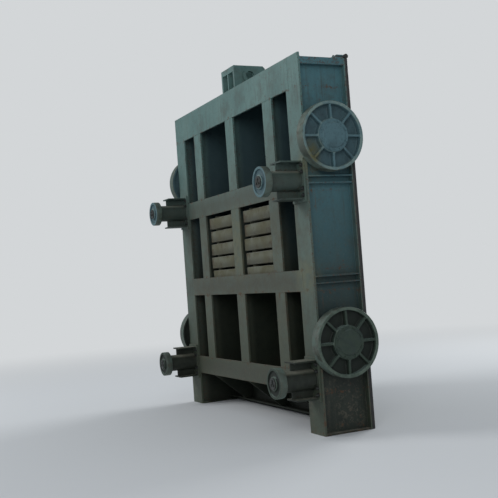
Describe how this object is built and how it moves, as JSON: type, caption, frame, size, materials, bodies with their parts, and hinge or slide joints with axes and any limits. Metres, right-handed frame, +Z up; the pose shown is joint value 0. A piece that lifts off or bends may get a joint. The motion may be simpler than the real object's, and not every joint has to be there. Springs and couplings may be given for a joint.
{
  "type": "fixed wheel sluice gate",
  "caption": "Upright welded steel sluice gate leaf with girders, ballast, rubber seals, a lifting lug, main wheels on its ends and guide wheels in front.",
  "frame": {"origin": "on the floor under the middle of the part's outer box", "axes": "+X across the leaf, +Y from the open girder side to the skin plate and seals, +Z up"},
  "size_m": [3.538, 0.9894, 3.75],
  "materials": {
    "painted_plate": "weathered grey green paint with rust stains",
    "cast_steel": "painted rough casting",
    "axle_steel": "turned and dulled",
    "seal_rubber": "matt moulded rubber",
    "ballast_iron": "rusty bare casting"
  },
  "bodies": {
    "leaf": {"skin_plate": "painted_plate", "top_beam": "painted_plate", "girder_upper": "painted_plate", "girder_middle": "painted_plate", "girder_lower": "painted_plate", "diaphragm_left": "painted_plate", "diaphragm_middle": "painted_plate", "diaphragm_right": "painted_plate", "end_beam_left": "painted_plate", "end_beam_right": "painted_plate", "stiffener_top": "painted_plate", "stiffener_middle": "painted_plate", "stiffener_bottom": "painted_plate", "sill_bar": "painted_plate", "lifting_lug": "painted_plate", "seal_clamps": "painted_plate", "ballast_left": "ballast_iron", "ballast_right": "ballast_iron", "side_seal_left": "seal_rubber", "side_seal_right": "seal_rubber", "top_seal": "seal_rubber", "bottom_seal": "seal_rubber", "axle_upper_left": "axle_steel", "guide_pin_upper_left": "axle_steel", "guide_bracket_upper_left": "painted_plate", "axle_upper_right": "axle_steel", "guide_pin_upper_right": "axle_steel", "guide_bracket_upper_right": "painted_plate", "axle_lower_left": "axle_steel", "guide_pin_lower_left": "axle_steel", "guide_bracket_lower_left": "painted_plate", "axle_lower_right": "axle_steel", "guide_pin_lower_right": "axle_steel", "guide_bracket_lower_right": "painted_plate"},
    "main_wheel_upper_left": {"main_wheel_upper_left": "cast_steel", "hub_cap_upper_left": "cast_steel"},
    "main_wheel_upper_right": {"main_wheel_upper_right": "cast_steel", "hub_cap_upper_right": "cast_steel"},
    "main_wheel_lower_left": {"main_wheel_lower_left": "cast_steel", "hub_cap_lower_left": "cast_steel"},
    "main_wheel_lower_right": {"main_wheel_lower_right": "cast_steel", "hub_cap_lower_right": "cast_steel"},
    "guide_wheel_upper_left": {"guide_wheel_upper_left": "cast_steel"},
    "guide_wheel_upper_right": {"guide_wheel_upper_right": "cast_steel"},
    "guide_wheel_lower_left": {"guide_wheel_lower_left": "cast_steel"},
    "guide_wheel_lower_right": {"guide_wheel_lower_right": "cast_steel"}
  },
  "joints": [
    {"name": "main_wheel_upper_left_turn", "type": "hinge", "parent": "leaf", "child": "main_wheel_upper_left", "pos_m": [-1.686, 0.17475, 2.71], "axis": [1, 0, 0], "continuous": true},
    {"name": "main_wheel_upper_right_turn", "type": "hinge", "parent": "leaf", "child": "main_wheel_upper_right", "pos_m": [1.686, 0.17475, 2.71], "axis": [1, 0, 0], "continuous": true},
    {"name": "main_wheel_lower_left_turn", "type": "hinge", "parent": "leaf", "child": "main_wheel_lower_left", "pos_m": [-1.686, 0.17475, 0.83], "axis": [1, 0, 0], "continuous": true},
    {"name": "main_wheel_lower_right_turn", "type": "hinge", "parent": "leaf", "child": "main_wheel_lower_right", "pos_m": [1.686, 0.17475, 0.83], "axis": [1, 0, 0], "continuous": true},
    {"name": "guide_wheel_upper_left_turn", "type": "hinge", "parent": "leaf", "child": "guide_wheel_upper_left", "pos_m": [-1.48, -0.44525, 2.328], "axis": [0, 1, 0], "continuous": true},
    {"name": "guide_wheel_upper_right_turn", "type": "hinge", "parent": "leaf", "child": "guide_wheel_upper_right", "pos_m": [1.48, -0.44525, 2.328], "axis": [0, 1, 0], "continuous": true},
    {"name": "guide_wheel_lower_left_turn", "type": "hinge", "parent": "leaf", "child": "guide_wheel_lower_left", "pos_m": [-1.48, -0.44525, 0.512], "axis": [0, 1, 0], "continuous": true},
    {"name": "guide_wheel_lower_right_turn", "type": "hinge", "parent": "leaf", "child": "guide_wheel_lower_right", "pos_m": [1.48, -0.44525, 0.512], "axis": [0, 1, 0], "continuous": true}
  ]
}
